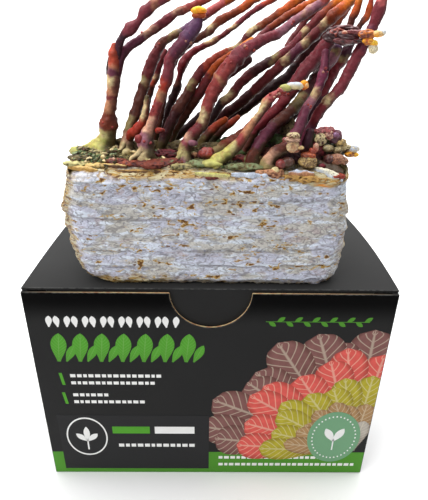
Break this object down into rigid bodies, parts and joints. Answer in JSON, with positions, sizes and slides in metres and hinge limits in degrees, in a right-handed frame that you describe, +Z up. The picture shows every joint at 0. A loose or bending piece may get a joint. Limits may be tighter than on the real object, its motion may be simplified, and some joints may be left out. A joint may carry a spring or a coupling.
{
  "type": "reishi mushroom grow kit",
  "caption": "Block of grown-through substrate with glossy antler-shaped reishi fruit bodies leaning one way, standing on its closed black carton with a thumb notch.",
  "frame": {"origin": "middle of the carton's underside", "axes": "+X to the right seen from the printed front, +Y towards the back, +Z up"},
  "size_m": [0.2655, 0.168, 0.3664],
  "materials": {
    "carton_board": "satin black printed board",
    "mycelium": "matt wrinkled skin, lavender white with ochre crust",
    "antler_skin": "glossy lacquered skin, maroon to brick red with cream bands",
    "young_skin": "satin, cream to orange and yellow"
  },
  "bodies": {
    "root": {"carton_body": "carton_board", "carton_lid": "carton_board", "mycelium_block": "mycelium", "antler_01_trunk": "antler_skin", "antler_02": "antler_skin", "antler_03": "antler_skin", "antler_04": "antler_skin", "antler_05": "antler_skin", "antler_06": "antler_skin", "antler_07": "antler_skin", "antler_08": "antler_skin", "antler_09": "antler_skin", "antler_10": "antler_skin", "antler_11": "antler_skin", "antler_12": "antler_skin", "antler_13": "antler_skin", "antler_14": "antler_skin", "antler_15": "antler_skin", "antler_16": "antler_skin", "antler_17": "antler_skin", "antler_18": "antler_skin", "antler_19": "antler_skin", "antler_20": "antler_skin", "antler_21": "antler_skin", "young_dark_bud": "young_skin", "young_finger_left": "young_skin", "young_finger_middle": "young_skin", "antler_01_left_fork": "antler_skin", "antler_01_right_fork": "antler_skin", "antler_02_side_shoot": "antler_skin", "antler_09_fork": "antler_skin", "antler_11_fork": "antler_skin", "antler_22": "antler_skin", "antler_23": "antler_skin", "antler_24": "antler_skin", "folded_cap": "young_skin", "cream_stem_knob": "young_skin", "orange_topped_knob": "young_skin", "brown_knob": "young_skin", "dark_red_knob": "young_skin", "right_cluster": "young_skin", "striped_knob": "young_skin"}
  },
  "joints": []
}
